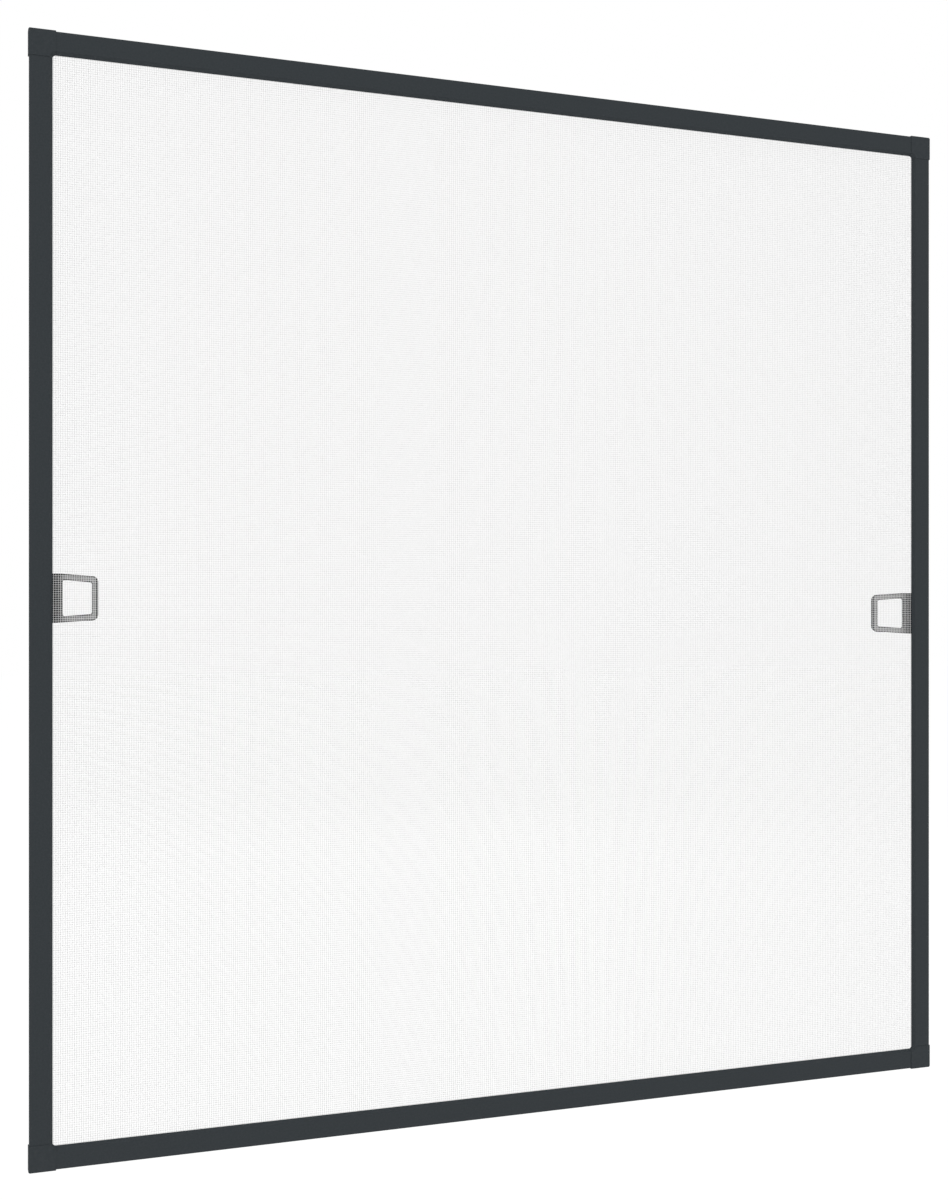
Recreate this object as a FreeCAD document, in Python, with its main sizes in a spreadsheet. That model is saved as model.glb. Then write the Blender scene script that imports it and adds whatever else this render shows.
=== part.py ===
import FreeCAD, Part
import os
import re

import Sketcher

# Window insect screen for hanging in a window frame. Four hollow rails are joined by moulded
# corner blocks whose legs plug into them. The screen cloth lies on the rails' inner lips and is
# pressed into their grooves by round cords. Brush seals stand in slots on the rear, and two loop
# handles are clipped to the stiles.
#
# Millimetres, seen from the front: +X to the right, +Y to the rear, +Z up. The origin is the
# middle of the bottom rail's rear seating strip.

SIZES = {
    # whole screen, over the corner blocks
    "overall_width": 1400,
    "overall_height": 1500,
    # rail section
    "rail_face": 30,
    "rail_depth": 10,
    "rail_wall": 1.2,
    "rail_edge_round": 0.8,
    "front_flat": 26,
    "shoulder_depth": 5.2,
    "lip_depth": 6,
    # cord groove, measured from the rail's outer edge
    "groove_offset": 19.5,
    "groove_width": 4.5,
    "groove_floor": 1.4,
    # handle slot, in the wall above the groove
    "clip_slot_depth": 2.2,
    "clip_slot_width": 1.6,
    "clip_slot_lip": 1.1,
    # brush slot
    "brush_offset": 3.6,
    "brush_pocket_width": 7.4,
    "brush_pocket_depth": 1.7,
    "brush_mouth": 5,
    "brush_lip": 1,
    # corner block
    "opening_round": 4,
    "block_proud": 1.2,
    "block_front_proud": 0.6,
    "block_corner_round": 2.5,
    "block_edge_round": 0.6,
    "leg_length": 45,
    "leg_clearance": 0.2,
    "leg_taper": 8,
    "leg_taper_step": 1.5,
    "leg_window_border": 4,
    # screen cloth, its weave opened by a coarse grid
    "cloth_thickness": 0.9,
    "hem_thickness": 0.3,
    "cloth_clearance": 0.05,
    "weave_columns": 12,
    "weave_rows": 12,
    "weave_bar": 18,
    # cord in the groove
    "spline_diameter": 3.8,
    "spline_clearance": 0.15,
    # brush seal
    "brush_backing_width": 7,
    "brush_backing_depth": 0.9,
    "pile_foot_width": 4.4,
    "pile_tip_width": 3,
    "pile_reach": 5,
    # loop handle
    "handle_height": 65.4,
    "handle_end_height": 58.8,
    "handle_reach": 60.9,
    "handle_thickness": 3,
    "handle_tilt": 17,
    "handle_bend": 4,
    "handle_root": 13,
    "handle_corner_round": 9,
    "grip_width": 39.3,
    "grip_height": 48,
    "grip_end_height": 42.5,
    "grip_round": 3,
    "handle_end_round": 2.8,
    "handle_seat_clearance": 0.1,
    "tongue_clearance": 0.15,
    # handle places above the middle of the stiles
    "left_handle_rise": 3.3,
    "right_handle_rise": -17.5,
}

# Sizes that follow from the driving ones
RAILS_WIDTH = "(overall_width - 2 * block_proud)"
RAILS_HEIGHT = "(overall_height - 2 * block_proud)"
BLOCK_ARM = "(rail_face + opening_round)"
GROOVE_INNER = "(groove_offset + groove_width)"
BRUSH_SEAT = "(rail_depth - brush_lip - brush_pocket_depth)"
BRUSH_MIDDLE = "(brush_offset + brush_pocket_width / 2)"
CHAMBER_END = "(groove_offset - rail_wall)"
CHAMBER_TOP = f"({BRUSH_SEAT} - rail_wall)"
SEAT_START = "(brush_offset + brush_pocket_width / 2 + brush_mouth / 2)"
SEAT_MIDDLE = f"(({SEAT_START} + groove_offset) / 2)"
CLOTH_REAR = "(lip_depth + cloth_thickness)"
MIDDLE_HEIGHT = f"({RAILS_HEIGHT} / 2 - {SEAT_MIDDLE})"
THROUGH = "(3 * rail_depth)"

doc = FreeCAD.newDocument("WindowScreen")
sheet = doc.addObject("Spreadsheet::Sheet", "Sizes")
for row, (name, number) in enumerate(SIZES.items(), start=1):
    sheet.set(f"A{row}", name)
    sheet.set(f"B{row}", str(number))
    sheet.setAlias(f"B{row}", name)
doc.recompute()


def in_sheet(formula):
    """The formula with each size in it read from the sheet."""
    def cell(word):
        return f"Sizes.{word.group()}" if word.group() in SIZES else word.group()
    return re.sub(r"[a-z_]+", cell, formula)


def value(formula):
    return float(sheet.evalExpression(in_sheet(formula)))


def bind(item, prop, formula):
    item.setExpression(prop, in_sheet(formula))


def new_body(label):
    body = doc.addObject("PartDesign::Body", label)
    body.Label = label
    return body


def place(item, x, y, z, turn=0):
    """Stands a piece at a point, turned about the front-to-rear axis."""
    item.Placement = FreeCAD.Placement(
        FreeCAD.Vector(value(x), value(y), value(z)),
        FreeCAD.Rotation(FreeCAD.Vector(0, 1, 0), turn),
    )
    bind(item, "Placement.Base.x", x)
    bind(item, "Placement.Base.y", y)
    bind(item, "Placement.Base.z", z)


def new_sketch(body, name, plane, depth=None):
    """A sketch on one of the body's own planes, a front-facing one set back by a depth."""
    sketch = body.newObject("Sketcher::SketchObject", name)
    support = [item for item in body.Origin.OriginFeatures if item.Role == plane]
    sketch.AttachmentSupport = (support[0], [""])
    sketch.MapMode = "FlatFace"
    if depth:
        bind(sketch, "AttachmentOffset.Base.z", f"-({depth})")
    return sketch


def tie(sketch, kind, first, spot, formula):
    """Ties one size of the sketch to the sheet."""
    number = sketch.addConstraint(Sketcher.Constraint(kind, *first, *spot, value(formula)))
    name = f"{kind}_{sketch.ConstraintCount}"
    sketch.renameConstraint(number, name)
    bind(sketch, f"Constraints.{name}", formula)


def draw_outline(sketch, corners, arcs=()):
    """A closed outline whose corners stand at formulas across and up.

    An arc runs from its numbered corner to the next one: (corner, radius, centre across, up).
    """
    start = sketch.GeometryCount
    bends = {arc[0]: arc[1:] for arc in arcs}
    spots = [FreeCAD.Vector(value(across), value(up), 0) for across, up in corners]
    for number, spot in enumerate(spots):
        after = spots[(number + 1) % len(spots)]
        if number in bends:
            radius, across, up = bends[number]
            centre = FreeCAD.Vector(value(across), value(up), 0)
            outward = ((spot + after) / 2 - centre).normalize() * value(radius)
            side = Part.Arc(spot, centre + outward, after)
        else:
            side = Part.LineSegment(spot, after)
        sketch.addGeometry(side, False)
    ends = [side_ends(sketch, start + number, spot) for number, spot in enumerate(spots)]
    for number, (across, up) in enumerate(corners):
        first = ends[number][0]
        before = ends[number - 1][1]
        sketch.addConstraint(Sketcher.Constraint("Coincident", *before, *first))
        tie(sketch, "DistanceX", (-1, 1), first, across)
        tie(sketch, "DistanceY", (-1, 1), first, up)
    for number, bend in bends.items():
        tie(sketch, "Radius", (start + number,), (), bend[0])


def side_ends(sketch, side, spot):
    """The side's two ends, the one at the spot first."""
    if sketch.getPoint(side, 1).distanceToPoint(spot) < sketch.getPoint(side, 2).distanceToPoint(spot):
        return (side, 1), (side, 2)
    return (side, 2), (side, 1)


def draw_circle(sketch, across, up, radius):
    middle = FreeCAD.Vector(value(across), value(up), 0)
    circle = Part.Circle(middle, FreeCAD.Vector(0, 0, 1), value(radius))
    side = sketch.addGeometry(circle, False)
    tie(sketch, "DistanceX", (-1, 1), (side, 3), across)
    tie(sketch, "DistanceY", (-1, 1), (side, 3), up)
    tie(sketch, "Radius", (side,), (), radius)


def rectangle(left, bottom, right, top):
    return [(left, bottom), (right, bottom), (right, top), (left, top)]


def centred(width, height):
    half_width, half_height = f"({width}) / 2", f"({height}) / 2"
    return rectangle(f"-{half_width}", f"-{half_height}", half_width, half_height)


def pad(body, sketch, length, both_ways=False):
    """Adds material to the rear of a front-facing sketch, or both ways from a section."""
    feature = body.newObject("PartDesign::Pad", f"{sketch.Name}Pad")
    feature.Profile = sketch
    bind(feature, "Length", length)
    feature.Midplane = both_ways
    feature.Reversed = not both_ways
    doc.recompute()
    return feature


def pocket(body, sketch, length, both_ways=False):
    """Cuts to the rear of a front-facing sketch, or both ways from a section."""
    before = body.Shape.Volume
    feature = body.newObject("PartDesign::Pocket", f"{sketch.Name}Cut")
    feature.Profile = sketch
    bind(feature, "Length", length)
    feature.Midplane = both_ways
    doc.recompute()
    if feature.Shape.Volume >= before:
        raise RuntimeError(f"{feature.Name} cuts nothing")
    return feature


def edges_where(shape, wanted):
    return [f"Edge{number}" for number, edge in enumerate(shape.Edges, start=1) if wanted(edge)]


def soften(body, kind, size, wanted):
    """Rounds or bevels the edges of the body's last feature that the test picks."""
    base = body.Tip
    feature = body.newObject(f"PartDesign::{kind}", f"{body.Name}{kind}")
    feature.Base = (base, edges_where(base.Shape, wanted))
    bind(feature, "Radius" if kind == "Fillet" else "Size", size)
    doc.recompute()
    return feature


def runs_along(edge, axis):
    """Whether a straight edge runs along an axis: 0 across, 1 to the rear, 2 up."""
    if edge.Curve.TypeId != "Part::GeomLine":
        return False
    return abs(abs(edge.Curve.Direction[axis]) - 1) < 1e-6


def near(found, formula):
    return abs(found - value(formula)) < 1e-3


def side_places():
    """Where each side of the frame starts: its outer edge's middle and its turn."""
    half_width, half_height = f"{RAILS_WIDTH} / 2", f"{RAILS_HEIGHT} / 2"
    return {
        "left": (f"-{half_width}", MIDDLE_HEIGHT, 0),
        "bottom": ("0", f"{MIDDLE_HEIGHT} - {half_height}", -90),
        "right": (half_width, MIDDLE_HEIGHT, 180),
        "top": ("0", f"{MIDDLE_HEIGHT} + {half_height}", 90),
    }


def side_length(side):
    return RAILS_WIDTH if side in ("bottom", "top") else RAILS_HEIGHT


def make_rail(label, side):
    """Hollow extrusion. Its section runs inward from the outer edge and rearward from the face."""
    body = new_body(label)
    section = new_sketch(body, f"{label}_section", "XY_Plane")
    slot_rear = "(rail_depth - clip_slot_lip)"
    slot_front = f"({slot_rear} - clip_slot_width)"
    pocket_end = "(brush_offset + brush_pocket_width)"
    mouth_start = f"({BRUSH_MIDDLE} - brush_mouth / 2)"
    lip_front = "(rail_depth - brush_lip)"
    draw_outline(section, [
        ("0", "0"),
        ("front_flat", "0"),
        ("rail_face", "shoulder_depth"),
        ("rail_face", "lip_depth"),
        (GROOVE_INNER, "lip_depth"),
        (GROOVE_INNER, "groove_floor"),
        ("groove_offset", "groove_floor"),
        ("groove_offset", slot_front),
        ("groove_offset - clip_slot_depth", slot_front),
        ("groove_offset - clip_slot_depth", slot_rear),
        ("groove_offset", slot_rear),
        ("groove_offset", "rail_depth"),
        (SEAT_START, "rail_depth"),
        (SEAT_START, lip_front),
        (pocket_end, lip_front),
        (pocket_end, BRUSH_SEAT),
        ("brush_offset", BRUSH_SEAT),
        ("brush_offset", lip_front),
        (mouth_start, lip_front),
        (mouth_start, "rail_depth"),
        ("0", "rail_depth"),
    ])
    draw_outline(section, [
        ("rail_wall", "rail_wall"),
        (CHAMBER_END, "rail_wall"),
        (CHAMBER_END, CHAMBER_TOP),
        ("groove_offset - clip_slot_depth - rail_wall", CHAMBER_TOP),
        ("groove_offset - clip_slot_depth - rail_wall", "rail_depth - rail_wall"),
        (f"{pocket_end} + rail_wall", "rail_depth - rail_wall"),
        (f"{pocket_end} + rail_wall", CHAMBER_TOP),
        ("rail_wall", CHAMBER_TOP),
    ])
    pad(body, section, f"{side_length(side)} - 2 * {BLOCK_ARM}", both_ways=True)

    def front_edge(edge):
        spot = edge.CenterOfMass
        outer = near(spot.x, "0") and (near(spot.y, "0") or near(spot.y, "rail_depth"))
        return runs_along(edge, 2) and (outer or near(spot.x, "front_flat") and near(spot.y, "0"))

    soften(body, "Fillet", "rail_edge_round", front_edge)
    x, z, turn = side_places()[side]
    place(body, x, "-rail_depth", z, turn)
    return body


def make_corner(label, across, up, turn):
    """Moulded block with a stepped rear like the rails' and a forked leg for each of them."""
    body = new_body(label)
    front = "(-block_front_proud)"
    block = new_sketch(body, f"{label}_block", "XZ_Plane", front)
    draw_outline(block, rectangle("-block_proud", "-block_proud", BLOCK_ARM, BLOCK_ARM))
    pad(body, block, "rail_depth + block_front_proud")

    opening = new_sketch(body, f"{label}_opening", "XZ_Plane", front)
    draw_circle(opening, BLOCK_ARM, BLOCK_ARM, "opening_round")
    pocket(body, opening, THROUGH)

    def block_corner(edge):
        spot = edge.CenterOfMass
        return runs_along(edge, 1) and near(spot.x, "-block_proud") and near(spot.z, "-block_proud")

    def opening_edge(edge):
        return near(edge.CenterOfMass.y, "-block_front_proud") and edge.Curve.TypeId == "Part::GeomCircle"

    def front_edge(edge):
        spot = edge.CenterOfMass
        side = runs_along(edge, 0) and near(spot.z, "-block_proud")
        side = side or runs_along(edge, 2) and near(spot.x, "-block_proud")
        return side and near(spot.y, "-block_front_proud")

    shoulder = soften(body, "Chamfer", "shoulder_depth + block_front_proud", opening_edge)
    shoulder.ChamferType = "Two distances"
    shoulder.FlipDirection = True
    bind(shoulder, "Size2", "rail_face - front_flat")
    soften(body, "Fillet", "block_corner_round", block_corner)
    soften(body, "Fillet", "block_edge_round", front_edge)

    rebate = new_sketch(body, f"{label}_rebate", "XZ_Plane", "lip_depth")
    draw_outline(rebate, rectangle("groove_offset", "groove_offset", BLOCK_ARM, BLOCK_ARM))
    pocket(body, rebate, "rail_depth - lip_depth")

    groove = new_sketch(body, f"{label}_groove", "XZ_Plane", "groove_floor")
    draw_outline(groove, [
        ("groove_offset", "groove_offset"),
        (BLOCK_ARM, "groove_offset"),
        (BLOCK_ARM, GROOVE_INNER),
        (GROOVE_INNER, GROOVE_INNER),
        (GROOVE_INNER, BLOCK_ARM),
        ("groove_offset", BLOCK_ARM),
    ])
    pocket(body, groove, "lip_depth - groove_floor")

    legs = new_sketch(body, f"{label}_legs", "XZ_Plane", "rail_wall + leg_clearance")
    for outline in leg_outlines():
        draw_outline(legs, outline)
        draw_outline(legs, [(up_there, across_there) for across_there, up_there in outline])
    pad(body, legs, f"{CHAMBER_TOP} - rail_wall - 2 * leg_clearance")
    place(body, across, "-rail_depth", up, turn)
    return body


def leg_outlines():
    """One leg seen from the front, with its tapered tip, and the window that makes it a fork."""
    low = "(rail_wall + leg_clearance)"
    high = f"({CHAMBER_END} - leg_clearance)"
    tip = f"({BLOCK_ARM} + leg_length)"
    taper = f"({tip} - leg_taper)"
    leg = [
        (BLOCK_ARM, low),
        (taper, low),
        (tip, f"{low} + leg_taper_step"),
        (tip, f"{high} - leg_taper_step"),
        (taper, high),
        (BLOCK_ARM, high),
    ]
    window = rectangle(
        f"{BLOCK_ARM} + leg_window_border", f"{low} + leg_window_border",
        f"{taper} - leg_window_border", f"{high} - leg_window_border",
    )
    return leg, window


def make_cloth(label):
    """Screen cloth: one sheet on the lips, its edge turned into the grooves, opened by a grid."""
    body = new_body(label)
    edge_inset = f"({GROOVE_INNER} - cloth_clearance - hem_thickness)"
    width = f"({RAILS_WIDTH} - 2 * {edge_inset})"
    height = f"({RAILS_HEIGHT} - 2 * {edge_inset})"
    flat = new_sketch(body, f"{label}_flat", "XZ_Plane", "lip_depth")
    draw_outline(flat, centred(width, height))
    pad(body, flat, "cloth_thickness")

    turned_front = "(groove_floor + hem_thickness)"
    turned = new_sketch(body, f"{label}_turned_edge", "XZ_Plane", turned_front)
    draw_outline(turned, centred(width, height))
    draw_outline(turned, centred(f"{width} - 2 * hem_thickness", f"{height} - 2 * hem_thickness"))
    pad(body, turned, f"lip_depth - {turned_front}")

    open_weave(body, label)
    place(body, "0", "-rail_depth", MIDDLE_HEIGHT)
    return body


def open_weave(body, label):
    """Cuts the grid of openings between the rails, each in the middle of its own cell."""
    cells = {
        "H_Axis": ("weave_columns", f"({RAILS_WIDTH} - 2 * rail_face)"),
        "V_Axis": ("weave_rows", f"({RAILS_HEIGHT} - 2 * rail_face)"),
    }
    starts = [f"(-{span} / 2 + weave_bar / 2)" for count, span in cells.values()]
    ends = [f"(-{span} / 2 + {span} / {count} - weave_bar / 2)" for count, span in cells.values()]
    opening = new_sketch(body, f"{label}_opening", "XZ_Plane", "lip_depth")
    draw_outline(opening, rectangle(*starts, *ends))
    first = pocket(body, opening, THROUGH)
    grid = body.newObject("PartDesign::MultiTransform", f"{label}_weave")
    grid.Originals = [first]
    rows = []
    for axis, (count, span) in cells.items():
        row = doc.addObject("PartDesign::LinearPattern", f"{label}_{count}")
        row.Direction = (opening, [axis])
        bind(row, "Length", f"{span} - {span} / {count}")
        bind(row, "Occurrences", count)
        rows.append(row)
    grid.Transformations = rows
    body.Tip = grid
    doc.recompute()


def make_spline(label, side):
    """Round cord in the groove. The level ones run through, the upright ones stand between them."""
    cord = doc.addObject("Part::Cylinder", label)
    cord.Label = label
    outer = "(groove_offset + spline_clearance)"
    ends = outer
    if side in ("left", "right"):
        ends = f"({outer} + spline_diameter + spline_clearance)"
    length = f"({side_length(side)} - 2 * {ends})"
    axis_inset = f"({outer} + spline_diameter / 2)"
    axis_depth = "(groove_floor + hem_thickness + spline_clearance + spline_diameter / 2)"
    bind(cord, "Radius", "spline_diameter / 2")
    bind(cord, "Height", length)
    x, z, turn = side_places()[side]
    inward = {"left": (1, 0), "right": (-1, 0), "bottom": (0, 1), "top": (0, -1)}[side]
    along = {"left": (0, 1), "right": (0, -1), "bottom": (-1, 0), "top": (1, 0)}[side]
    place(
        cord,
        f"{x} + {inward[0]} * {axis_inset} - {along[0]} * {length} / 2",
        f"{axis_depth} - rail_depth",
        f"{z} + {inward[1]} * {axis_inset} - {along[1]} * {length} / 2",
        turn,
    )
    return cord


def make_brush(label, side):
    """Pile strip: a stiff backing in the slot and a tapering pile out through its mouth."""
    body = new_body(label)
    section = new_sketch(body, f"{label}_section", "XY_Plane")
    backing_rear = f"({BRUSH_SEAT} + brush_backing_depth)"
    tip = "(rail_depth + pile_reach)"
    left = [
        (f"{BRUSH_MIDDLE} - pile_tip_width / 2", tip),
        (f"{BRUSH_MIDDLE} - pile_foot_width / 2", backing_rear),
        (f"{BRUSH_MIDDLE} - brush_backing_width / 2", backing_rear),
        (f"{BRUSH_MIDDLE} - brush_backing_width / 2", BRUSH_SEAT),
    ]
    right = [
        (f"{BRUSH_MIDDLE} + brush_backing_width / 2", BRUSH_SEAT),
        (f"{BRUSH_MIDDLE} + brush_backing_width / 2", backing_rear),
        (f"{BRUSH_MIDDLE} + pile_foot_width / 2", backing_rear),
        (f"{BRUSH_MIDDLE} + pile_tip_width / 2", tip),
    ]
    draw_outline(section, left + right)
    pad(body, section, f"{side_length(side)} - 2 * {BLOCK_ARM}", both_ways=True)
    x, z, turn = side_places()[side]
    place(body, x, "-rail_depth", z, turn)
    return body


def make_handle(label, side, rise):
    """Loop handle: a tongue in the stile's slot, a root on the lip, a tilted loop with a rounded end."""
    body = new_body(label)
    root = "(groove_offset + tongue_clearance)"
    tongue_end = "(groove_offset - clip_slot_depth + tongue_clearance)"
    seat = f"({CLOTH_REAR} + handle_seat_clearance)"
    bend = "(rail_face + handle_bend)"
    end = "(rail_face + handle_reach)"
    end_front = f"({seat} + ({end} - {bend}) * tan(handle_tilt))"
    end_rear = f"({end_front} + handle_thickness / cos(handle_tilt))"
    run = "(handle_end_round * tan(45 - handle_tilt / 2))"
    margin = "handle_thickness"
    far = f"({end_rear} + {margin})"

    plan = new_sketch(body, f"{label}_plan", "XZ_Plane", seat)
    grip_start = "(rail_face + handle_root)"
    grip_end = f"({grip_start} + grip_width)"
    draw_outline(plan, [
        (tongue_end, "-handle_height / 2"),
        (bend, "-handle_height / 2"),
        (end, "-handle_end_height / 2"),
        (end, "handle_end_height / 2"),
        (bend, "handle_height / 2"),
        (tongue_end, "handle_height / 2"),
    ])
    draw_outline(plan, [
        (grip_start, "-grip_height / 2"),
        (grip_end, "-grip_end_height / 2"),
        (grip_end, "grip_end_height / 2"),
        (grip_start, "grip_height / 2"),
    ])
    pad(body, plan, f"{far} - {seat}")

    def loop_corner(edge):
        return runs_along(edge, 1) and near(edge.CenterOfMass.x, end)

    def grip_corner(edge):
        spot = edge.CenterOfMass
        return runs_along(edge, 1) and (near(spot.x, grip_start) or near(spot.x, grip_end))

    soften(body, "Fillet", "handle_corner_round", loop_corner)
    soften(body, "Fillet", "grip_round", grip_corner)

    slot_front = "(rail_depth - clip_slot_lip - clip_slot_width)"
    tongue_front = f"({slot_front} + tongue_clearance)"
    tongue_rear = "(rail_depth - clip_slot_lip - tongue_clearance)"
    round_start = (f"{end} - {run} * cos(handle_tilt)", f"{end_front} - {run} * sin(handle_tilt)")
    round_centre = (f"{end} - handle_end_round", f"{end_front} + {run}")
    waste = new_sketch(body, f"{label}_side", "XY_Plane")
    draw_outline(waste, [
        (tongue_end, tongue_front),
        (root, tongue_front),
        (root, seat),
        (bend, seat),
        round_start,
        (end, f"{end_front} + {run}"),
        (end, end_rear),
        (f"{bend} - handle_thickness * tan(handle_tilt / 2)", f"{seat} + handle_thickness"),
        (root, f"{seat} + handle_thickness"),
        (root, tongue_rear),
        (tongue_end, tongue_rear),
    ], arcs=[(4, "handle_end_round", *round_centre)])
    draw_outline(waste, rectangle(
        f"{tongue_end} - {margin}", f"{seat} - {margin}", f"{end} + {margin}", f"{far} + {margin}",
    ))
    pocket(body, waste, "2 * handle_height", both_ways=True)
    x, z, turn = side_places()[side]
    place(body, x, "-rail_depth", f"{z} + {rise}", turn)
    return body


pieces = [
    make_rail("top_rail", "top"),
    make_rail("bottom_rail", "bottom"),
    make_rail("left_stile", "left"),
    make_rail("right_stile", "right"),
]
half_width, half_height = f"{RAILS_WIDTH} / 2", f"{RAILS_HEIGHT} / 2"
low, high = f"{MIDDLE_HEIGHT} - {half_height}", f"{MIDDLE_HEIGHT} + {half_height}"
pieces += [
    make_corner("corner_bottom_left", f"-{half_width}", low, 0),
    make_corner("corner_bottom_right", half_width, low, -90),
    make_corner("corner_top_right", half_width, high, 180),
    make_corner("corner_top_left", f"-{half_width}", high, 90),
]
pieces.append(make_cloth("screen_mesh"))
for side in ("top", "bottom", "left", "right"):
    pieces.append(make_spline(f"spline_{side}", side))
    pieces.append(make_brush(f"brush_seal_{side}", side))
pieces.append(make_handle("handle_left", "left", "left_handle_rise"))
pieces.append(make_handle("handle_right", "right", "right_handle_rise"))
doc.recompute()

for item in doc.Objects:
    if "Invalid" in item.State or "Error" in item.State:
        raise RuntimeError(f"{item.Label} failed: {item.State}")
for piece in pieces:
    if piece.Shape.isNull() or not piece.Shape.isValid():
        raise RuntimeError(f"{piece.Label} has no valid shape")

os.makedirs("parts", exist_ok=True)
for piece in pieces:
    piece.Shape.exportStep(f"parts/{piece.Label}.step")
    box = piece.Shape.BoundBox
    print(f"{piece.Label}: {len(piece.Shape.Solids)} solid, {piece.Shape.Volume / 1000:.1f} cm3, "
          f"{box.XLength:.1f} x {box.YLength:.1f} x {box.ZLength:.1f} mm")
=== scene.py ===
# %% [markdown]
# # Dressing a window screen
# A window screen is a light frame that keeps insects out of a room. Four powder-coated aluminium
# rails are plugged together at moulded corner blocks. A woven cloth is stretched over the frame and
# pressed into a groove by a round cord. Brush strips seal the rear, and two loop handles lift the
# screen out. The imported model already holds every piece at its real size, so this lesson only gives
# the pieces their surfaces and makes the parts that are too fine for solids: threads, bristles and
# ribs.

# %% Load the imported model
import bmesh
import bpy
import math
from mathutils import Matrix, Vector


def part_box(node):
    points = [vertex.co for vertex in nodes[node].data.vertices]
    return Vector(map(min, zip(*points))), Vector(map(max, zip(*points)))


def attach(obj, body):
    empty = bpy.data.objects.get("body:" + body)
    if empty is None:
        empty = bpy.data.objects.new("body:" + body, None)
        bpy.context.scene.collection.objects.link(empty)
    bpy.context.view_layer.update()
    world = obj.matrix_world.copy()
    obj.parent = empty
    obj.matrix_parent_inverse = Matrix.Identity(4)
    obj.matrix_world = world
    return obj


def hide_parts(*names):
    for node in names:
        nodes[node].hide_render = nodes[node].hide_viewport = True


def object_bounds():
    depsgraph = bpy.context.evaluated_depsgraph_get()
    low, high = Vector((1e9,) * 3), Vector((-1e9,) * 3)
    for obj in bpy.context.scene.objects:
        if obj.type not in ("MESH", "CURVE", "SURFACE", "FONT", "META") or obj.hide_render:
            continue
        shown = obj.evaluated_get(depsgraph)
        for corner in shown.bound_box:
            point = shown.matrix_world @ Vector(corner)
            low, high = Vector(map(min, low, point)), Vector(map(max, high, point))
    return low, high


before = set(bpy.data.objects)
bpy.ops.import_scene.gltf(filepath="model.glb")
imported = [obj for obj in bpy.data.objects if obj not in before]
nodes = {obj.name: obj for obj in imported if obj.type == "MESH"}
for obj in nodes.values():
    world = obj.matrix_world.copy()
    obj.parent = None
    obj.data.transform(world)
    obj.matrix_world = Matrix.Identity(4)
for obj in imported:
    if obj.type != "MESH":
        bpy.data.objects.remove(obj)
cad_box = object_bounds()
MM = 0.001  # one millimetre in Blender's metres
print(f"{len(nodes)} nodes, {[round((b - a) / MM) for a, b in zip(*cad_box)]} mm")

# %% [markdown]
# ## The camera
# The photograph looks at the screen from just beyond its left edge, with the lens level. A camera can
# be nudged by eye until the pictures agree, but here it can be worked out. The screen's upright edges
# stay upright, which a level camera gives by itself, and its level edges run together to the right,
# which gives the turn of the camera. The lens is a normal one: 1527 pixels of focal length in a
# picture 1200 pixels high. The sensor's width counts along the picture's longer side, here its
# height. The horizon lies about ten pixels under the picture's middle, so the lens is shifted by that
# much.

# %% Camera
PHOTO_HEIGHT = 1200
FOCAL_PIXELS = 1527
HORIZON_PIXEL = 610.4
SENSOR = 36
CAMERA_TURN = math.radians(19.577)
CAMERA_STANDS_BACK = 2.0771
CAMERA_LEFT_OF_FRAME = 0.1211
CAMERA_ABOVE_LOWER_EDGE = 0.7358

rail_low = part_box("bottom_rail")[0]
stile_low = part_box("left_stile")[0]
camera = bpy.data.objects.new("camera", bpy.data.cameras.new("camera"))
bpy.context.scene.collection.objects.link(camera)
camera.location = (
    stile_low[0] - CAMERA_LEFT_OF_FRAME,
    rail_low[1] - CAMERA_STANDS_BACK,
    rail_low[2] + CAMERA_ABOVE_LOWER_EDGE,
)
camera.rotation_euler = (math.pi / 2, 0, -CAMERA_TURN)
camera.data.sensor_width = SENSOR
camera.data.lens = SENSOR * FOCAL_PIXELS / PHOTO_HEIGHT
camera.data.shift_y = (HORIZON_PIXEL - PHOTO_HEIGHT / 2) / PHOTO_HEIGHT
bpy.context.scene.camera = camera
print(f"camera at {[round(v, 3) for v in camera.location]} m, lens {camera.data.lens:.1f} mm")

# %% [markdown]
# ## Helpers for node trees
# Materials and geometry trees are both made of nodes. One small function adds a node, sets its
# options, and fills each input with a value or a link. A link may name another node's output, or
# just that node, which means its first output. Colours are written as the hex values that a colour
# picker shows, and Blender works with linear light, so one function turns hex to linear.

# %% Helpers
def add_node(tree, kind, sockets=None, **options):
    """Adds a node with its options, and fills its inputs with values or links."""
    node = tree.nodes.new(kind)
    for name, option in options.items():
        setattr(node, name, option)
    for name, source in (sockets or {}).items():
        if isinstance(source, bpy.types.Node):
            source = source.outputs[0]
        if isinstance(source, bpy.types.NodeSocket):
            tree.links.new(source, node.inputs[name])
        else:
            node.inputs[name].default_value = source
    return node


def to_linear(hex_colour):
    """The linear red, green, blue and alpha of an sRGB hex colour."""
    channels = [int(hex_colour[i:i + 2], 16) / 255 for i in (1, 3, 5)]
    return (*[c / 12.92 if c <= 0.04045 else ((c + 0.055) / 1.055) ** 2.4 for c in channels], 1)


def new_material(name):
    """A material with a plain principled surface, its tree and that surface's node."""
    material = bpy.data.materials.new(name)
    material.use_nodes = True
    tree = material.node_tree
    return material, tree, tree.nodes["Principled BSDF"]


ANTHRACITE = ("#2f3437", "#363a3d")
print("anthracite in linear light:", [round(c, 3) for c in to_linear(ANTHRACITE[0])])

# %% [markdown]
# ## Powder-coated aluminium
# The rails are extruded aluminium with a baked powder coat. The coat is a thin layer of polyester
# melted together from grains, so it hides the metal: it is not metallic to the eye, it is matt, and
# from close up it has the fine unevenness called orange peel. A flat colour would do from across the
# room, but close up it looks like card. Two noise textures give the unevenness: a fine one for the
# grain and a wider one for the flow of the melt. Multiplied together, they drive a slight change of
# tone, of gloss and of relief. The real relief is a few hundredths of a millimetre, so it is bump and
# not geometry. A matting agent in the coat takes away much of its mirror gloss, which is what the
# lower specular level says.

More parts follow.
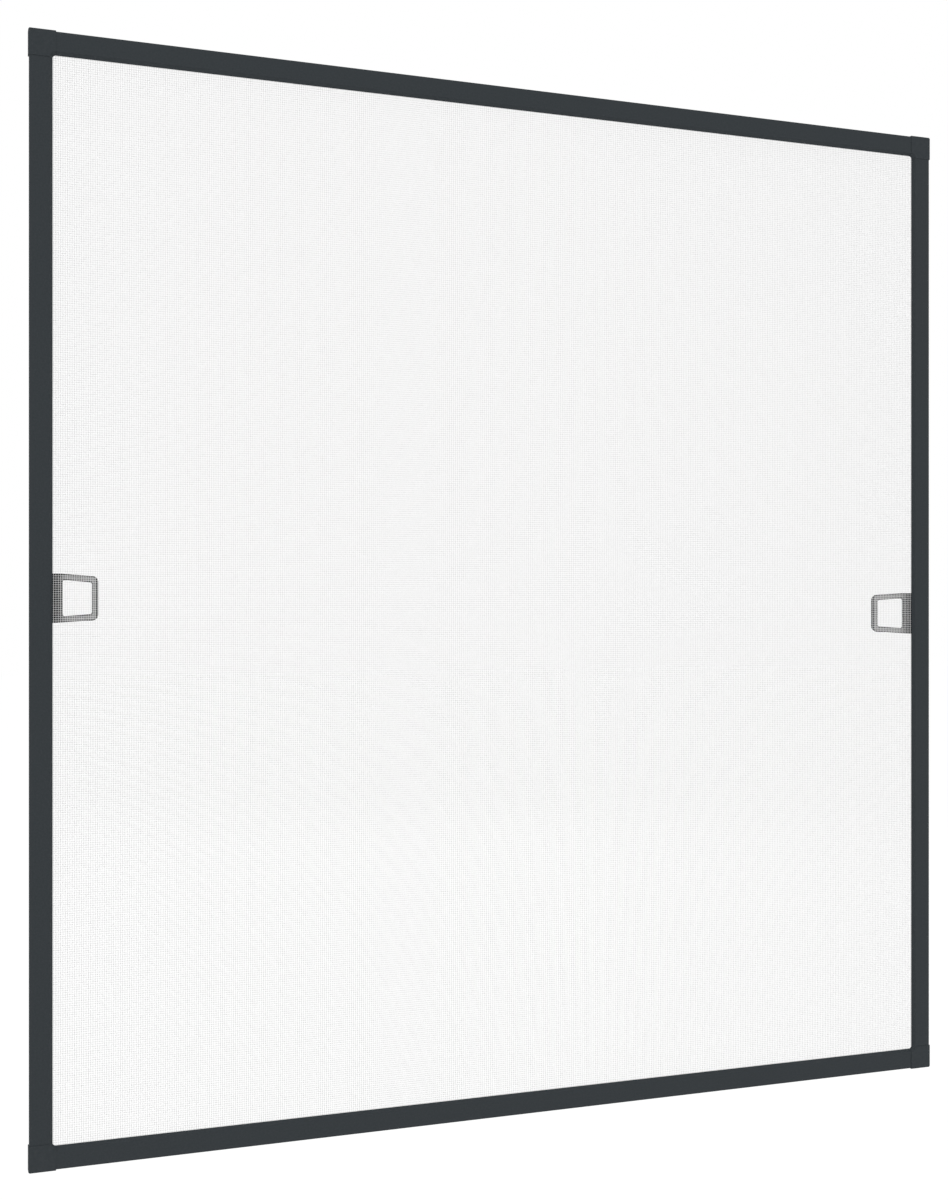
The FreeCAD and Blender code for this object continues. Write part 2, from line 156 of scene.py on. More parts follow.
# %% Grained surfaces
GRAIN_DETAIL = 2.0
FLOW_DETAIL = 1.0
TONE_RANGE = (0.1, 0.45)  # the product of two noises mostly lies between these
GLOSS_SPREAD = 0.05
BUMP_STRENGTH = 0.5


def grained_surface(name, tones, roughness, grain, flow, relief, mirror):
    """A matt surface whose tone, gloss and relief follow a fine grain and a wider flow."""
    material, tree, surface = new_material(name)
    place = add_node(tree, "ShaderNodeTexCoord").outputs["Object"]
    grains = add_node(tree, "ShaderNodeTexNoise", {
        "Vector": place,
        "Scale": 1 / grain,
        "Detail": GRAIN_DETAIL,
    })
    melt = add_node(tree, "ShaderNodeTexNoise", {
        "Vector": place,
        "Scale": 1 / flow,
        "Detail": FLOW_DETAIL,
    })
    peel = add_node(tree, "ShaderNodeMath", {0: grains, 1: melt}, operation="MULTIPLY")
    tone = add_node(tree, "ShaderNodeValToRGB", {"Fac": peel})
    for element, level, colour in zip(tone.color_ramp.elements, TONE_RANGE, tones):
        element.position = level
        element.color = to_linear(colour)
    gloss = add_node(tree, "ShaderNodeMapRange", {
        "Value": grains,
        "To Min": roughness - GLOSS_SPREAD,
        "To Max": roughness + GLOSS_SPREAD,
    })
    bump = add_node(tree, "ShaderNodeBump", {
        "Height": peel,
        "Strength": BUMP_STRENGTH,
        "Distance": relief,
    })
    tree.links.new(tone.outputs["Color"], surface.inputs["Base Color"])
    tree.links.new(gloss.outputs["Result"], surface.inputs["Roughness"])
    tree.links.new(bump.outputs["Normal"], surface.inputs["Normal"])
    surface.inputs["Specular IOR Level"].default_value = mirror
    return material


def dress(names, material):
    """Gives CAD nodes a finished material."""
    for name in names:
        for slot in nodes[name].material_slots:
            slot.material = material
    print(f"{material.name} on {len(names)} pieces")


print(f"noise detail: {GRAIN_DETAIL:.0f} for the grain, {FLOW_DETAIL:.0f} for the flow")

# %% Powder coat
RAILS = ["top_rail", "bottom_rail", "left_stile", "right_stile"]
powder_coat = grained_surface(
    "powder coated aluminium",
    tones=ANTHRACITE,
    roughness=0.55,
    grain=0.35 * MM,
    flow=2.5 * MM,
    relief=0.08 * MM,
    mirror=0.1,
)
dress(RAILS, powder_coat)

# %% [markdown]
# ## Moulded plastic
# The corner blocks are injection-moulded ABS, coloured through to match the rails. The mould's
# walls were spark eroded, which leaves a fine even texture on the plastic. It is finer and flatter
# than the powder coat's grain, and a touch glossier. The handles are the same plastic from a
# smoother mould, apart from the flat faces of the loop: these are etched for grip, rougher than the
# smooth edges, and painted much paler than them as a painted sheen of the light that the tilted
# faces catch. Towards the foot the pale tone fades back to dark, which is painted shade from the rail
# beside the foot. A painted picture could show that fade, but it would need a map of the surface. The
# tone can follow the distance from the frame's middle instead, which serves both handles.

# %% Plastics
SPARK_GRAIN = 0.22 * MM
CORNERS = [name for name in nodes if name.startswith("corner_")]
corner_plastic = grained_surface(
    "moulded abs spark textured",
    tones=ANTHRACITE,
    roughness=0.5,
    grain=SPARK_GRAIN,
    flow=4 * MM,
    relief=0.03 * MM,
    mirror=0.1,
)
handle_plastic = grained_surface(
    "moulded abs satin",
    tones=("#161717", "#1b1c1c"),
    roughness=0.5,
    grain=SPARK_GRAIN,
    flow=6 * MM,
    relief=0.01 * MM,
    mirror=0.08,
)
# The pale tone of this surface is a painted sheen; its roughness and bump are the real etching.
etched_sheen_plastic = grained_surface(
    "moulded abs etched",
    tones=("#8c8c8c", "#9c9c9c"),
    roughness=0.7,
    grain=0.6 * MM,
    flow=5 * MM,
    relief=0.06 * MM,
    mirror=0.2,
)
dress(CORNERS, corner_plastic)

# %% Painted shade towards the foot
# The dark tone and its fade are painted shade that the rail throws on the loop near the foot.
FOOT_SHADE_TONE = "#181919"
FOOT_WIDTH = 19 * MM
SHADE_FADE = 12 * MM


def paint_foot_shade(material, start):
    """Blends a surface's tone in from a dark painted shade, from a distance off the frame's middle
    inward.
    """
    tree = material.node_tree
    surface = tree.nodes["Principled BSDF"]
    etched_and_sheen = surface.inputs["Base Color"].links[0].from_socket
    place = add_node(tree, "ShaderNodeTexCoord").outputs["Object"]
    across = add_node(tree, "ShaderNodeSeparateXYZ", {"Vector": place})
    from_middle = add_node(tree, "ShaderNodeMath", {0: across.outputs["X"]}, operation="ABSOLUTE")
    # The fade runs from full painted shade at the foot end to none a fade's width further in.
    depth = add_node(tree, "ShaderNodeMapRange", {
        "Value": from_middle,
        "From Min": start,
        "From Max": start - SHADE_FADE,
    })
    tone = add_node(tree, "ShaderNodeMix", {
        "Factor": depth,
        "A": to_linear(FOOT_SHADE_TONE),
        "B": etched_and_sheen,
    }, data_type="RGBA")
    tree.links.new(tone.outputs["Result"], surface.inputs["Base Color"])


foot_end = -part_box("handle_left")[0][0] - FOOT_WIDTH
paint_foot_shade(etched_sheen_plastic, foot_end)
# This is where the painted shade on the handles begins.
print(f"etching from {foot_end:.4f} m off the middle")

# %% [markdown]
# ## Soft plastics
# The cloth's thread is glass fibre drawn through soft PVC: a smooth pale grey string. The cord in
# the groove is black PVC. The brush strips are polypropylene, a stiff ribbon with a dense pile of
# fine yarn. All of them are soft plastics with a slight mottle, which one noise texture gives, and
# the pile is much rougher to the eye because its ends scatter the light. Only the colour, the gloss
# and the width of the mottle differ, so one function makes all four.

# %% Soft plastics
MOTTLE_SHARE = 0.08
MOTTLE_RANGE = (0.3, 0.7)  # a noise mostly lies between these


def soft_plastic(name, colour, roughness, mottle):
    """Soft coloured plastic with a slight mottle of the given width."""
    material, tree, surface = new_material(name)
    place = add_node(tree, "ShaderNodeTexCoord").outputs["Object"]
    cloudy = add_node(tree, "ShaderNodeTexNoise", {"Vector": place, "Scale": 1 / mottle})
    tone = add_node(tree, "ShaderNodeValToRGB", {"Fac": cloudy})
    shares = (1 - MOTTLE_SHARE, 1 + MOTTLE_SHARE)
    for element, level, share in zip(tone.color_ramp.elements, MOTTLE_RANGE, shares):
        element.position = level
        element.color = [min(c * share, 1) for c in to_linear(colour)]
    tree.links.new(tone.outputs["Color"], surface.inputs["Base Color"])
    surface.inputs["Roughness"].default_value = roughness
    return material


thread_plastic = soft_plastic("pvc coated glass fibre", "#efefef", roughness=0.45, mottle=1.5 * MM)
cord_rubber = soft_plastic("soft pvc cord", "#26282a", roughness=0.5, mottle=2 * MM)
pile_yarn = soft_plastic("polypropylene pile", "#303336", roughness=0.85, mottle=0.6 * MM)
backing_plastic = soft_plastic("polypropylene ribbon", "#26282a", roughness=0.4, mottle=3 * MM)
print("four soft plastics made")

# %% [markdown]
# ## Geometry trees
# Threads, ribs and bristles repeat by a rule. A loop in the script could copy them one by one, but a
# Geometry Nodes tree states the rule once, and its inputs can still be changed by hand. A tree is put
# on an empty object as a modifier, its named inputs are set, and the result is taken as a plain mesh,
# so that nothing live is left on the piece. Cords and brushes are made with their length along z and
# are then turned to lie along their rail.

# %% Geometry tree helpers
def new_tree(name, inputs):
    """An empty geometry tree with these inputs, each a name and a kind, and its input sockets."""
    tree = bpy.data.node_groups.new(name, "GeometryNodeTree")
    tree.interface.new_socket("Geometry", in_out="OUTPUT", socket_type="NodeSocketGeometry")
    for label, kind in inputs.items():
        tree.interface.new_socket(label, in_out="INPUT", socket_type=f"NodeSocket{kind}")
    return tree, add_node(tree, "NodeGroupInput").outputs


def end_tree(tree, geometry, ports, material):
    """Puts the geometry in its place, realizes the instances and gives them the material."""
    placed = add_node(tree, "GeometryNodeTransform", {
        "Geometry": geometry,
        "Translation": ports["Place"],
        "Rotation": ports["Turn"],
    })
    real = add_node(tree, "GeometryNodeRealizeInstances", {"Geometry": placed})
    dressed = add_node(tree, "GeometryNodeSetMaterial", {"Geometry": real, "Material": material})
    add_node(tree, "NodeGroupOutput", {"Geometry": dressed})
    print(f"{tree.name}: a tree of {len(tree.nodes)} nodes")


def grow(name, tree, values):
    """Runs a tree with these input values and returns its result as a plain mesh object."""
    seed = bpy.data.objects.new(f"{name}_seed", bpy.data.meshes.new(f"{name}_seed"))
    bpy.context.scene.collection.objects.link(seed)
    modifier = seed.modifiers.new("tree", "NODES")
    modifier.node_group = tree
    for item in tree.interface.items_tree:
        if item.in_out == "INPUT":
            modifier[item.identifier] = values[item.name]
    bpy.context.view_layer.update()
    seen = seed.evaluated_get(bpy.context.evaluated_depsgraph_get())
    mesh = bpy.data.meshes.new_from_object(seen)
    mesh.name = name
    bpy.data.objects.remove(seed)
    piece = bpy.data.objects.new(name, mesh)
    bpy.context.scene.collection.objects.link(piece)
    print(f"{name}: {sum(len(face.vertices) - 2 for face in mesh.polygons)} triangles")
    return piece


print(f"{len(bpy.data.node_groups)} geometry trees so far")

# %% Sides of the frame
SIDES = ["left", "right", "top", "bottom"]


def side_turn(side):
    """The turn about y that lays a piece made along z along this side's rail."""
    return (0, 0 if side in ("left", "right") else math.pi / 2, 0)


def side_length(box, side):
    """The length along this side's rail of a box given by its lowest and highest corners."""
    size = [high - low for low, high in zip(*box)]
    return size[2] if side in ("left", "right") else size[0]


def settle(piece, slot, *replaced):
    """Fixes a finished piece to the frame in place of its CAD nodes."""
    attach(piece, "root")
    if replaced:
        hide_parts(*replaced)


# %% [markdown]
# ## The screen cloth
# The cloth could be one flat sheet with a see-through pattern, but from the side that has no threads,
# and as a mesh it is a closed board. So each thread is made. It runs straight across the opening,
# bends over the lip at both ends and dives into the groove. A line of six points says that: an end in
# the groove, a corner on the lip, a point just inside the corner that keeps the thread's section
# square to the run, and the same at the far end. A thread is a bundle of glass filaments under a thin
# coat, so a fluted section is swept along the line. One row of threads stands upright and one lies
# level, sunk into the first as the melted coat leaves them. Real insect cloth has a thread about
# every 1.5 mm. The photograph shows one every 3 mm, and so does this piece: finer threads would blur
# to a plain grey. The thread's width is chosen so that the cloth lets through as much of the white
# background, and hides as much of the dark handles, as in the photograph.

# %% One row of threads
THREAD_PITCH = 2.98 * MM
THREAD_WIDTH = 0.47 * MM
THREAD_POINTS = 6
SQUARE_RUN = 1.5 * MM
FLUTES = 8
FLUTE_FLOOR = 0.5  # radius at a flute's floor, as a share of the thread's own


def add_thread_row(tree, ports, row_depth, upright):
    """Adds one row of threads, upright or level, and returns its geometry."""
    along, across = ("Height", "Width") if upright else ("Width", "Height")
    # A point's rank from the thread's middle is 0.5 inside the corner, 1.5 on it and 2.5 at the end
    index = add_node(tree, "GeometryNodeInputIndex")
    from_middle = add_node(tree, "ShaderNodeMath", {
        0: index,
        1: (THREAD_POINTS - 1) / 2,
    }, operation="SUBTRACT")
    rank = add_node(tree, "ShaderNodeMath", {0: from_middle}, operation="ABSOLUTE")
    side = add_node(tree, "ShaderNodeMath", {0: from_middle}, operation="SIGN")
    is_inner = add_node(tree, "ShaderNodeMath", {0: rank, 1: 1.0}, operation="LESS_THAN")
    is_hem = add_node(tree, "ShaderNodeMath", {0: rank, 1: 2.0}, operation="GREATER_THAN")
    half = add_node(tree, "ShaderNodeMath", {0: ports[along], 1: 0.5}, operation="MULTIPLY")
    reach = add_node(tree, "ShaderNodeMath", {
        0: is_inner,
        1: -SQUARE_RUN,
        2: half,
    }, operation="MULTIPLY_ADD")
    signed = add_node(tree, "ShaderNodeMath", {0: reach, 1: side}, operation="MULTIPLY")
    hem_drop = add_node(tree, "ShaderNodeMath", {0: is_hem, 1: ports["Hem"]}, operation="MULTIPLY")
    depth = add_node(tree, "ShaderNodeMath", {0: row_depth, 1: hem_drop}, operation="SUBTRACT")
    spot = add_node(tree, "ShaderNodeCombineXYZ", {"Y": depth, "Z" if upright else "X": signed})
    points = add_node(tree, "GeometryNodeMeshLine", {"Count": THREAD_POINTS})
    bent = add_node(tree, "GeometryNodeSetPosition", {"Geometry": points, "Position": spot})
    path = add_node(tree, "GeometryNodeMeshToCurve", {"Mesh": bent})
    # The fluted section is swept along that line
    outer = add_node(tree, "ShaderNodeMath", {0: ports["Thread"], 1: 0.5}, operation="MULTIPLY")
    inner = add_node(tree, "ShaderNodeMath", {0: outer, 1: FLUTE_FLOOR}, operation="MULTIPLY")
    section = add_node(tree, "GeometryNodeCurveStar", {
        "Points": FLUTES,
        "Outer Radius": outer,
        "Inner Radius": inner,
    })
    thread = add_node(tree, "GeometryNodeCurveToMesh", {
        "Curve": path,
        "Profile Curve": section,
        "Fill Caps": True,
    })
    # As many threads as the pitch allows stand about the middle
    fitting = add_node(tree, "ShaderNodeMath", {
        0: ports[across],
        1: ports["Pitch"],
    }, operation="DIVIDE")
    gaps = add_node(tree, "ShaderNodeMath", {0: fitting}, operation="FLOOR")
    count = add_node(tree, "ShaderNodeMath", {0: gaps, 1: 1.0}, operation="ADD")
    spread = add_node(tree, "ShaderNodeMath", {0: gaps, 1: ports["Pitch"]}, operation="MULTIPLY")
    first = add_node(tree, "ShaderNodeMath", {0: spread, 1: -0.5}, operation="MULTIPLY")
    axis = "X" if upright else "Z"
    row = add_node(tree, "GeometryNodeMeshLine", {
        "Count": count,
        "Start Location": add_node(tree, "ShaderNodeCombineXYZ", {axis: first}),
        "Offset": add_node(tree, "ShaderNodeCombineXYZ", {axis: ports["Pitch"]}),
    })
    return add_node(tree, "GeometryNodeInstanceOnPoints", {"Points": row, "Instance": thread})


print(f"threads {THREAD_WIDTH / MM:.2f} mm wide, one every {THREAD_PITCH / MM:.2f} mm")

# %% Cloth tree
ROWS_APART = 0.3 * MM
cloth_tree, cloth_ports = new_tree("woven screen cloth", {
    "Width": "Float", "Height": "Float", "Pitch": "Float", "Thread": "Float", "Hem": "Float",
    "Place": "Vector", "Turn": "Rotation",
})
rows = add_node(cloth_tree, "GeometryNodeJoinGeometry")
for row_depth, upright in ((0.0, True), (ROWS_APART, False)):
    row = add_thread_row(cloth_tree, cloth_ports, row_depth, upright)
    cloth_tree.links.new(row.outputs["Instances"], rows.inputs["Geometry"])
rounded = add_node(cloth_tree, "GeometryNodeSetShadeSmooth", {"Geometry": rows})
end_tree(cloth_tree, rounded, cloth_ports, thread_plastic)

# %% Screen cloth
CLOTH_THICKNESS = 0.9 * MM
cloth_low, cloth_high = [Vector(corner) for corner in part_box("screen_mesh")]
cloth_size = cloth_high - cloth_low
front_row = cloth_high.y - CLOTH_THICKNESS + THREAD_WIDTH / 2
hem_depth = front_row - cloth_low.y - THREAD_WIDTH / 2
screen_cloth = grow("screen_cloth", cloth_tree, {
    "Width": cloth_size.x - THREAD_WIDTH,
    "Height": cloth_size.z - THREAD_WIDTH,
    "Pitch": THREAD_PITCH,
    "Thread": THREAD_WIDTH,
    "Hem": hem_depth,
    "Place": ((cloth_low.x + cloth_high.x) / 2, front_row, (cloth_low.z + cloth_high.z) / 2),
    "Turn": (0, 0, 0),
})
settle(screen_cloth, "screen_cloth", "screen_mesh")

# %% [markdown]
# ## The cord in the groove
# A round PVC cord wedges the cloth into the groove. It is ribbed all along, so that it grips and so
# that a roller can press it in without it creeping. A smooth tube with ribs drawn by its material
# would still have a straight outline, so the ribs are shaped. A line with a point on each rib and
# each valley is swept with a circle, and every other point is scaled down a little.

# %% Cord tree
VALLEY = 0.88
CORD_SIDES = 10

cord_tree, cord_ports = new_tree("ribbed groove cord", {
    "Length": "Float", "Diameter": "Float", "Rib": "Float", "Place": "Vector", "Turn": "Rotation",
})
length = cord_ports["Length"]
high_end = add_node(cord_tree, "ShaderNodeMath", {0: length, 1: 0.5}, operation="MULTIPLY")
low_end = add_node(cord_tree, "ShaderNodeMath", {0: length, 1: -0.5}, operation="MULTIPLY")
line = add_node(cord_tree, "GeometryNodeCurvePrimitiveLine", {
    "Start": add_node(cord_tree, "ShaderNodeCombineXYZ", {"Z": low_end}),
    "End": add_node(cord_tree, "ShaderNodeCombineXYZ", {"Z": high_end}),
})
ribs = add_node(cord_tree, "ShaderNodeMath", {0: length, 1: cord_ports["Rib"]}, operation="DIVIDE")
turns = add_node(cord_tree, "ShaderNodeMath", {0: ribs, 1: 2.0}, operation="MULTIPLY")
ribbed = add_node(cord_tree, "GeometryNodeResampleCurve", {"Curve": line, "Count": turns})
cord_index = add_node(cord_tree, "GeometryNodeInputIndex")
is_rib = add_node(cord_tree, "ShaderNodeMath", {0: cord_index, 1: 2.0}, operation="MODULO")
girth = add_node(cord_tree, "ShaderNodeMapRange", {"Value": is_rib, "To Min": VALLEY, "To Max": 1.0})
cord_radius = add_node(cord_tree, "ShaderNodeMath", {
    0: cord_ports["Diameter"],
    1: 0.5,
}, operation="MULTIPLY")
cord_circle = add_node(cord_tree, "GeometryNodeCurvePrimitiveCircle", {
    "Resolution": CORD_SIDES,
    "Radius": cord_radius,
})
cord_mesh = add_node(cord_tree, "GeometryNodeCurveToMesh", {
    "Curve": ribbed,
    "Profile Curve": cord_circle,
    "Scale": girth,
    "Fill Caps": True,
})
cord_rounded = add_node(cord_tree, "GeometryNodeSetShadeSmooth", {"Geometry": cord_mesh})
end_tree(cord_tree, cord_rounded, cord_ports, cord_rubber)

# %% Groove cords
RIB_PITCH = 1.6 * MM
for side in SIDES:
    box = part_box(f"spline_{side}")
    cord = grow(f"groove_cord_{side}", cord_tree, {
        "Length": side_length(box, side),
        "Diameter": box[1][1] - box[0][1],
        "Rib": RIB_PITCH,
        "Place": (Vector(box[0]) + Vector(box[1])) / 2,
        "Turn": side_turn(side),
    })
    settle(cord, "spline_rubber", f"spline_{side}")

# %% [markdown]
# ## The brush strips
# A brush strip is a stiff plastic ribbon with rows of yarn tufts standing on it. The ribbon slides
# into a slot in the rail's rear and the pile brushes against the window frame. Blender's own hair
# could make the pile, but it isn't a mesh, and the finished piece has to be one. So a grid of points
# is laid over the ribbon and shaken a little, and a thin three-sided tuft is set on each point. Tufts
# of the outer rows lean inward, so the pile narrows to its tip, and each tuft leans and ends a
# little differently. The seed is fixed, so every run gives the same brush.

# %% Feet of the tufts
PILE_FOOT = 4.2 * MM
TUFT_ROWS = 6
TUFT_WIDTH = 0.7 * MM
SHAKE = 0.2 * MM

brush_tree, brush_ports = new_tree("brush pile", {
    "Length": "Float", "Reach": "Float", "Spacing": "Float", "Seed": "Int",
    "Place": "Vector", "Turn": "Rotation",
})
brush_length = brush_ports["Length"]
run = add_node(brush_tree, "ShaderNodeMath", {
    0: brush_length,
    1: TUFT_WIDTH + 2 * SHAKE,
}, operation="SUBTRACT")
tufts = add_node(brush_tree, "ShaderNodeMath", {
    0: brush_length,
    1: brush_ports["Spacing"],
}, operation="DIVIDE")
grid = add_node(brush_tree, "GeometryNodeMeshGrid", {
    "Size X": PILE_FOOT - TUFT_WIDTH,
    "Size Y": run,
    "Vertices X": TUFT_ROWS,
    "Vertices Y": tufts,
})
grid_place = add_node(brush_tree, "ShaderNodeSeparateXYZ", {
    "Vector": add_node(brush_tree, "GeometryNodeInputPosition"),
})
laid = add_node(brush_tree, "ShaderNodeCombineXYZ", {
    "X": grid_place.outputs["X"],
    "Z": grid_place.outputs["Y"],
})
shaken = add_node(brush_tree, "FunctionNodeRandomValue", {
    "Min": (-SHAKE, 0, -SHAKE),
    "Max": (SHAKE, 0, SHAKE),
    "Seed": brush_ports["Seed"],
}, data_type="FLOAT_VECTOR")
feet = add_node(brush_tree, "GeometryNodeSetPosition", {
    "Geometry": grid,
    "Position": laid,
    "Offset": shaken,
})
print(f"{TUFT_ROWS} rows of tufts on a foot {PILE_FOOT / MM:.1f} mm wide")

# %% Lean and length of the tufts
PILE_TIP = 3 * MM
TUFT_TIP_WIDTH = 0.35 * MM
TUFT_SIDES = 3
LEAN = 0.09  # the most that a tuft leans by chance, in radians
SHORTEST = 0.88

tuft = add_node(brush_tree, "GeometryNodeMeshCone", {
    "Vertices": TUFT_SIDES,
    "Radius Top": TUFT_TIP_WIDTH / 2,
    "Radius Bottom": TUFT_WIDTH / 2,
    "Depth": brush_ports["Reach"],
})
lean_seed, length_seed = [
    add_node(brush_tree, "ShaderNodeMath", {0: brush_ports["Seed"], 1: later}, operation="ADD")
    for later in (1.0, 2.0)
]
loose = add_node(brush_tree, "FunctionNodeRandomValue", {
    "Min": (-LEAN - math.pi / 2, -math.pi, -LEAN),
    "Max": (LEAN - math.pi / 2, math.pi, LEAN),
    "Seed": lean_seed,
}, data_type="FLOAT_VECTOR")
foot_place = add_node(brush_tree, "ShaderNodeSeparateXYZ", {
    "Vector": add_node(brush_tree, "GeometryNodeInputPosition"),
})
narrowing = add_node(brush_tree, "ShaderNodeMath", {
    0: 1 - PILE_TIP / PILE_FOOT,
    1: brush_ports["Reach"],
}, operation="DIVIDE")
inward_lean = add_node(brush_tree, "ShaderNodeMath", {
    0: foot_place.outputs["X"],
    1: narrowing,
}, operation="MULTIPLY")
leaning = add_node(brush_tree, "ShaderNodeVectorMath", {
    0: loose,
    1: add_node(brush_tree, "ShaderNodeCombineXYZ", {"Z": inward_lean}),
}, operation="ADD")
lengths = add_node(brush_tree, "FunctionNodeRandomValue", {
    "Min": (1, 1, SHORTEST),
    "Max": (1, 1, 1),
    "Seed": length_seed,
}, data_type="FLOAT_VECTOR")
pile = add_node(brush_tree, "GeometryNodeInstanceOnPoints", {
    "Points": feet,
    "Instance": tuft,
    "Rotation": leaning,
    "Scale": lengths,
})
end_tree(brush_tree, pile, brush_ports, pile_yarn)

# %% Brush piles
RIBBON_THICKNESS = 0.9 * MM
TUFT_SPACING = 0.6 * MM
FIRST_SEED = 40
SEEDS_EACH = 3  # one each for the place, lean and length of the tufts
for number, side in enumerate(SIDES):
    low, high = [Vector(corner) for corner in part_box(f"brush_seal_{side}")]
    ribbon_top = low.y + RIBBON_THICKNESS
    pile_piece = grow(f"brush_pile_{side}", brush_tree, {
        "Length": side_length((low, high), side),
        "Reach": high.y - ribbon_top,
        "Spacing": TUFT_SPACING,
        "Seed": FIRST_SEED + SEEDS_EACH * number,
        "Place": ((low.x + high.x) / 2, ribbon_top, (low.z + high.z) / 2),
        "Turn": side_turn(side),
    })
    settle(pile_piece, "brush_pile", f"brush_seal_{side}")

# %% [markdown]
# ## Ribbons and soft edges
# The brush's ribbon is a long flat bar with softened edges. It comes from a plain bar with its sharp
# edges bevelled. A Bevel modifier would do the same, but the bevel of bmesh also says which material
# the rounding gets, which the handles need.

# %% Soft-edged pieces
SHARP_ANGLE = math.radians(30)
CREASE_ANGLE = math.radians(40)


def round_edges(shape, width, steps):
    """Rounds a shape's sharp edges, with the first material on the rounding."""
    sharp = [e for e in shape.edges if e.is_manifold and e.calc_face_angle() > SHARP_ANGLE]
    bmesh.ops.bevel(
        shape, geom=sharp, offset=width, segments=steps, profile=0.5, affect="EDGES", material=0,
    )


def finish_mesh(name, shape, *materials):
    """Makes a shape a smooth-shaded object with these materials."""
    mesh = bpy.data.meshes.new(name)
    shape.to_mesh(mesh)
    shape.free()
    for material in materials:
        mesh.materials.append(material)
    mesh.shade_smooth()
    mesh.set_sharp_from_angle(angle=CREASE_ANGLE)
    piece = bpy.data.objects.new(name, mesh)
    bpy.context.scene.collection.objects.link(piece)
    print(f"{name}: {len(mesh.polygons)} faces")
    return piece


print(f"edges over {math.degrees(SHARP_ANGLE):.0f} degrees are rounded")

# %% Brush ribbons
RIBBON_ROUNDING = 0.2 * MM
RIBBON_STEPS = 2
for side in SIDES:
    low, high = [Vector(corner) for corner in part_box(f"brush_seal_{side}")]
    size = Vector((high.x - low.x, RIBBON_THICKNESS, high.z - low.z))
    bar = bmesh.new()
    bmesh.ops.create_cube(bar, size=1)
    for vertex in bar.verts:
        vertex.co = [a + (v + 0.5) * s for a, v, s in zip(low, vertex.co, size)]
    round_edges(bar, RIBBON_ROUNDING, RIBBON_STEPS)
    ribbon = finish_mesh(f"brush_ribbon_{side}", bar, backing_plastic)
    settle(ribbon, "brush_pile")

# %% [markdown]
# ## The handles
# The handles are moulded, so all their edges are a little rounded. The CAD node already has the
# right shape, so the handle isn't modelled again: a copy of the node's mesh is refined. It is merged
# first because a CAD mesh is loose triangles. Then flat faces are joined, so that only true edges are
# left to round. A face with a window in it can't be one polygon, so cuts through the middle divide
# the loop into four corners first, and one more cut parts it from the foot. The cuts are marked as
# seams, and joining stops at seams. The faces that look the way the loop is tilted are the etched
# ones, and they carry the pale painted sheen. The etching and the sheen stop a little short of the
# edges, as a mould maker masks them, so these faces are inset and the border stays smooth and dark.

# %% Handle shape
MERGE_DISTANCE = 0.002 * MM
FLAT_ANGLE = math.radians(1)
ACROSS = (1, 0, 0)
UP = (0, 0, 1)


def cut_seam(shape, spot, way):
    """Cuts a shape along the plane through a spot and square to a way, and marks the cut as a seam."""
    whole = shape.verts[:] + shape.edges[:] + shape.faces[:]
    cut = bmesh.ops.bisect_plane(shape, geom=whole, plane_co=spot, plane_no=way)["geom_cut"]
    for part in cut:
        if isinstance(part, bmesh.types.BMEdge):
            part.seam = True


def handle_shape(side, foot_cut):
    """A handle's merged mesh, cut through the loop's middle and at the foot, its flat faces joined."""
    shape = bmesh.new()
    shape.from_mesh(nodes[f"handle_{side}"].data)
    bmesh.ops.remove_doubles(shape, verts=shape.verts, dist=MERGE_DISTANCE)
    low, high = [Vector(corner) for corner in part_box(f"handle_{side}")]
    loop_middle = (low + high) / 2
    cut_seam(shape, loop_middle, ACROSS)
    cut_seam(shape, loop_middle, UP)
    cut_seam(shape, (foot_cut, 0, 0), ACROSS)
    bmesh.ops.dissolve_limit(
        shape, angle_limit=FLAT_ANGLE, verts=shape.verts, edges=shape.edges, delimit={"SEAM"},
    )
    shape.normal_update()
    return shape


print(f"points within {MERGE_DISTANCE / MM:.3f} mm are merged")

# %% Loop handles
LOOP_TILT = math.radians(17)
INWARD = {"left": 1, "right": -1}  # the way along x from each handle to the frame's middle
ETCH_AND_SHEEN_SPREAD = math.radians(2)
ETCH_AND_SHEEN_MARGIN = 1.4 * MM
HANDLE_ROUNDING = 0.4 * MM
HANDLE_STEPS = 3

etch_and_sheen_cut = foot_end + ETCH_AND_SHEEN_MARGIN
for side, inward in INWARD.items():
    shape = handle_shape(side, -inward * etch_and_sheen_cut)
    facing = Vector((inward * math.sin(LOOP_TILT), -math.cos(LOOP_TILT), 0))
    tilted = [f for f in shape.faces if abs(f.normal.dot(facing)) > math.cos(ETCH_AND_SHEEN_SPREAD)]
    # These faces get the etched surface with its pale painted sheen.
    etched_and_sheen = [f for f in tilted if abs(f.calc_center_median().x) < etch_and_sheen_cut]
    bmesh.ops.inset_region(shape, faces=etched_and_sheen, thickness=ETCH_AND_SHEEN_MARGIN, use_even_offset=True)
    for face in etched_and_sheen:
        face.material_index = 1
    round_edges(shape, HANDLE_ROUNDING, HANDLE_STEPS)
    handle = finish_mesh(f"loop_handle_{side}", shape, handle_plastic, etched_sheen_plastic)
    settle(handle, "handle_plastic", f"handle_{side}")

# %% [markdown]
# ## Sky and floor
# The photograph is a cut-out on white: even light from all round and no shadow near the frame,
# because the screen hangs clear of the ground. So the floor lies well below it, and a pale sky all
# round does most of the lighting. More light would make the background white too, but it would also
# bleach the object. So the background is made white only for rays that come straight from the camera,
# or by a reflection or through something clear, and it adds no light to the object. The floor's glow
# makes up what the sky alone leaves short of white, so no horizon shows, and it still takes a little
# of the object's shadow.

# %% Sky
SKY_STRENGTH = 0.75

scene = bpy.context.scene
scene.view_settings.view_transform = "Standard"


